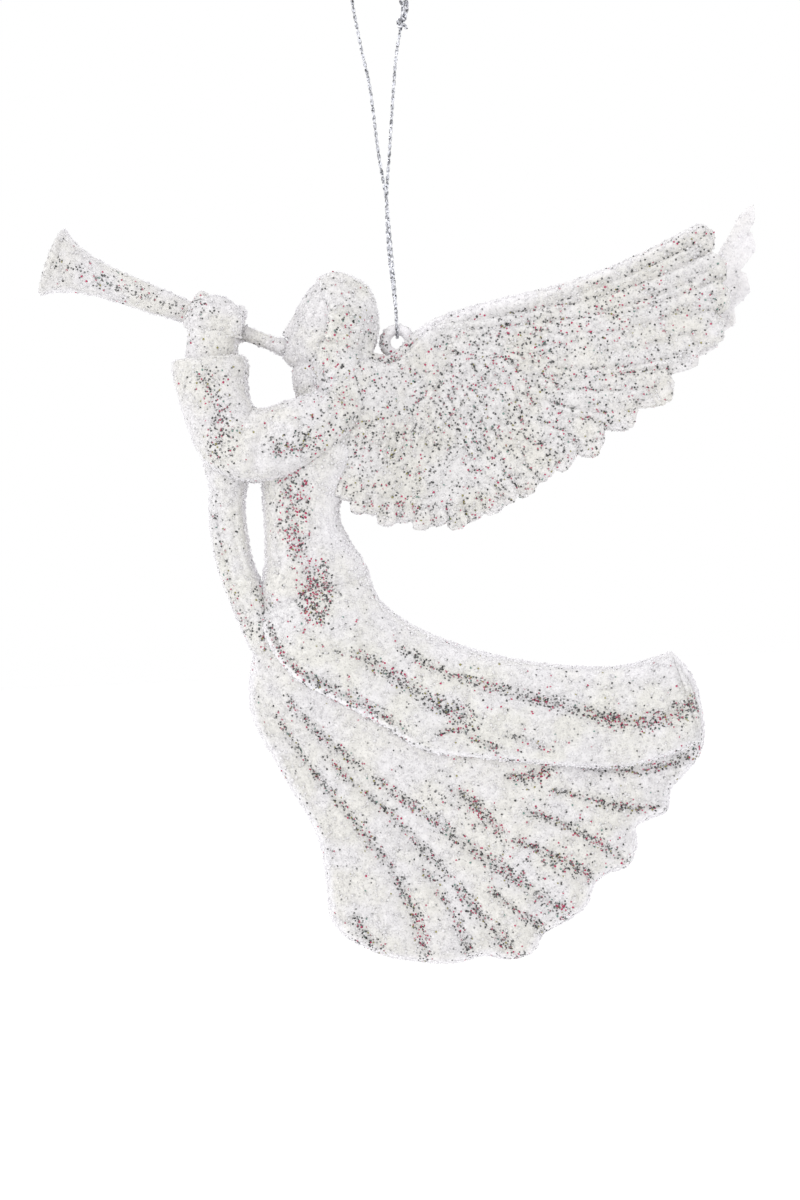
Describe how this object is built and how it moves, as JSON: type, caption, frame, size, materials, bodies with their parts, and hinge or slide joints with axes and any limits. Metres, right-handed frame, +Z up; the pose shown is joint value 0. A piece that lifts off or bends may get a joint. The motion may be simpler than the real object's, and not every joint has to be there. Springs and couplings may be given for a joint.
{
  "type": "hanging angel figurine",
  "caption": "Clear resin angel with a trumpet, swept wings and a fanned gown, hung by a moulded eye on a thin metallic cord loop.",
  "frame": {"origin": "inner top of the cord loop, where a branch or hook holds it", "axes": "+Z up, the figure faces -X, +Y points away from the near side, so the near side faces -Y"},
  "size_m": [0.1151, 0.0204, 0.1666],
  "materials": {
    "clear_resin": "clear cast resin under a coat of pale grain and glitter",
    "frosted_resin": "clear cast resin under a denser pale grain",
    "wing_resin": "thin clear cast resin with fine grain, cooler towards its edges",
    "metallic_cord": "twisted two-ply silver metallic thread"
  },
  "bodies": {
    "hanging_loop": {"cord_strands": "metallic_cord", "cord_knot": "metallic_cord"},
    "saddle": {"cord_saddle": "metallic_cord"},
    "figure": {"torso": "clear_resin", "skirt": "clear_resin", "near_tunic_panel": "frosted_resin", "far_tunic_panel": "frosted_resin", "head": "clear_resin", "hair": "frosted_resin", "near_arm": "clear_resin", "far_arm": "clear_resin", "sleeve_drape": "frosted_resin", "trumpet": "clear_resin", "near_wing": "wing_resin", "far_wing": "wing_resin", "hanging_eye": "clear_resin"}
  },
  "joints": [
    {"name": "cord_twist", "type": "hinge", "parent": "hanging_loop", "child": "saddle", "pos_m": [0, 0, -0.066], "axis": [0, 0, 1], "range_deg": [-180, 180]},
    {"name": "eye_rock", "type": "hinge", "parent": "saddle", "child": "figure", "pos_m": [0, 0, -0.066], "axis": [0, 1, 0], "range_deg": [-30, 10]}
  ]
}
